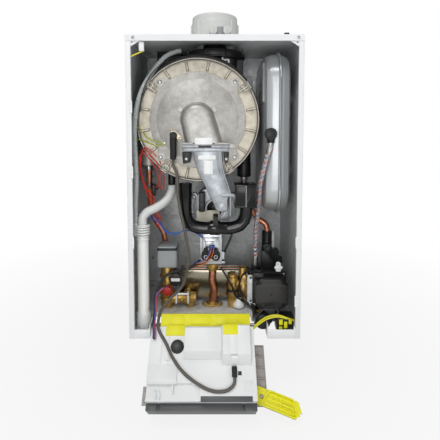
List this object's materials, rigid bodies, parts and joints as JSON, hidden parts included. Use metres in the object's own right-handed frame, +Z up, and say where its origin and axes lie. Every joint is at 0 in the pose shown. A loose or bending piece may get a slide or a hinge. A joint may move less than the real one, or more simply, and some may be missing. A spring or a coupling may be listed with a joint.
{
  "type": "combi boiler",
  "caption": "Wall-hung condensing combi boiler with its front cover off: case, heat exchanger, fan, gas valve, pump, vessel and a control box that swings down.",
  "frame": {"origin": "centre of the case's back face, where it meets the wall", "axes": "+Y into the wall, +Z up, +X to the right when facing the boiler"},
  "size_m": [0.4, 0.3941, 0.9244],
  "materials": {
    "white_paint": "smooth white powder coat",
    "galvanised": "galvanised sheet",
    "stainless": "stainless steel",
    "cast_aluminium": "as cast",
    "brass": "machined brass",
    "copper": "copper pipe",
    "black_plastic": "moulded black",
    "grey_plastic": "moulded grey",
    "pale_grey_plastic": "moulded pale grey",
    "white_plastic": "moulded white",
    "yellow_plastic": "moulded yellow",
    "red_plastic": "moulded red",
    "vessel_paint": "satin grey paint",
    "braid": "steel braid",
    "clear_hose": "translucent ribbed hose",
    "grey_rubber": "silicone lead",
    "board_green": "circuit board"
  },
  "bodies": {
    "case": {"back_panel": "white_paint", "left_side_panel": "white_paint", "right_side_panel": "white_paint", "top_panel": "white_paint", "hydraulic_floor": "galvanised", "left_hinge_pin": "stainless", "right_hinge_pin": "stainless", "flue_collar": "pale_grey_plastic", "flue_manifold": "black_plastic", "heat_exchanger_shell": "black_plastic", "heat_exchanger_ring": "cast_aluminium", "heat_exchanger_coil": "stainless", "burner": "stainless", "burner_door": "cast_aluminium", "ignition_electrode": "galvanised", "electrode_boot": "black_plastic", "ignition_lead": "grey_rubber", "fan_housing": "cast_aluminium", "fan_motor": "black_plastic", "premix_duct": "cast_aluminium", "intake_silencer": "black_plastic", "gas_valve": "cast_aluminium", "gas_coils": "black_plastic", "gas_nut": "brass", "gas_pipe": "copper", "plate_heat_exchanger": "stainless", "left_hydroblock": "brass", "diverter_motor": "grey_plastic", "pressure_sensor": "black_plastic", "right_hydroblock": "brass", "pump_volute": "black_plastic", "pump_head": "black_plastic", "pump_manifold": "black_plastic", "expansion_vessel": "vessel_paint", "vessel_elbow": "black_plastic", "vessel_hose": "braid", "flow_pipe": "copper", "return_pipe": "copper", "siphon_body": "pale_grey_plastic", "condensate_hose": "pale_grey_plastic", "drain_hose": "clear_hose", "main_harness": "black_plastic"},
    "control_box": {"box_rear_cover": "white_plastic", "box_fascia": "grey_plastic", "box_access_plate": "yellow_plastic", "main_board": "board_green", "ignition_terminal": "black_plastic", "pressure_gauge": "black_plastic"},
    "clamp_lever": {"clamp_lever": "yellow_plastic"},
    "heating_knob": {"heating_knob": "pale_grey_plastic"},
    "water_knob": {"water_knob": "pale_grey_plastic"},
    "reset_button": {"reset_button": "pale_grey_plastic"},
    "fan_impeller": {"fan_impeller": "black_plastic"},
    "pump_rotor": {"pump_rotor": "stainless"},
    "diverter_spindle": {"diverter_spindle": "stainless"},
    "relief_knob": {"relief_knob": "red_plastic"},
    "air_vent_cap": {"air_vent_cap": "black_plastic"},
    "siphon_cup": {"siphon_cup": "black_plastic"},
    "test_cap_left": {"test_cap_left": "pale_grey_plastic"},
    "test_cap_right": {"test_cap_right": "pale_grey_plastic"}
  },
  "joints": [
    {"name": "control_box_hinge", "type": "hinge", "parent": "case", "child": "control_box", "pos_m": [0, -0.2575, -0.333], "axis": [1, 0, 0], "range_deg": [-136, 0], "deforming": ["ignition_lead", "main_harness"]},
    {"name": "clamp_lever_pivot", "type": "hinge", "parent": "control_box", "child": "clamp_lever", "pos_m": [0.1052, -0.32912, -0.46402], "axis": [0, -0.7193, 0.6947], "range_deg": [0, 90]},
    {"name": "heating_knob_turn", "type": "hinge", "parent": "control_box", "child": "heating_knob", "pos_m": [-0.02, -0.27752, -0.42211], "axis": [0, -0.7193, 0.6947], "range_deg": [-135, 135]},
    {"name": "water_knob_turn", "type": "hinge", "parent": "control_box", "child": "water_knob", "pos_m": [0.038, -0.27752, -0.42211], "axis": [0, -0.7193, 0.6947], "range_deg": [-135, 135]},
    {"name": "reset_button_press", "type": "slide", "parent": "control_box", "child": "reset_button", "axis": [0, -0.7193, 0.6947], "range_m": [0, 0.002], "stiffness_N_per_m": 150},
    {"name": "fan_spin", "type": "hinge", "parent": "case", "child": "fan_impeller", "pos_m": [0, -0.175, -0.059], "axis": [0, 1, 0], "continuous": true},
    {"name": "pump_spin", "type": "hinge", "parent": "case", "child": "pump_rotor", "pos_m": [0.138, -0.2, -0.264], "axis": [0, 1, 0], "continuous": true},
    {"name": "diverter_slide", "type": "slide", "parent": "case", "child": "diverter_spindle", "axis": [0, 0, -1], "range_m": [0, 0.006]},
    {"name": "relief_knob_turn", "type": "hinge", "parent": "case", "child": "relief_knob", "pos_m": [-0.1197, -0.21, -0.267], "axis": [0, 1, 0], "range_deg": [0, 90]},
    {"name": "air_vent_turn", "type": "hinge", "parent": "case", "child": "air_vent_cap", "pos_m": [0.1377, -0.19, -0.166], "axis": [0, 1, 0], "range_deg": [0, 360]},
    {"name": "siphon_cup_pull", "type": "slide", "parent": "case", "child": "siphon_cup", "axis": [0, 0, -1], "range_m": [0, 0.03]},
    {"name": "test_cap_left_pull", "type": "slide", "parent": "case", "child": "test_cap_left", "axis": [0, -1, 0], "range_m": [0, 0.02]},
    {"name": "test_cap_right_pull", "type": "slide", "parent": "case", "child": "test_cap_right", "axis": [0, -1, 0], "range_m": [0, 0.02]}
  ]
}
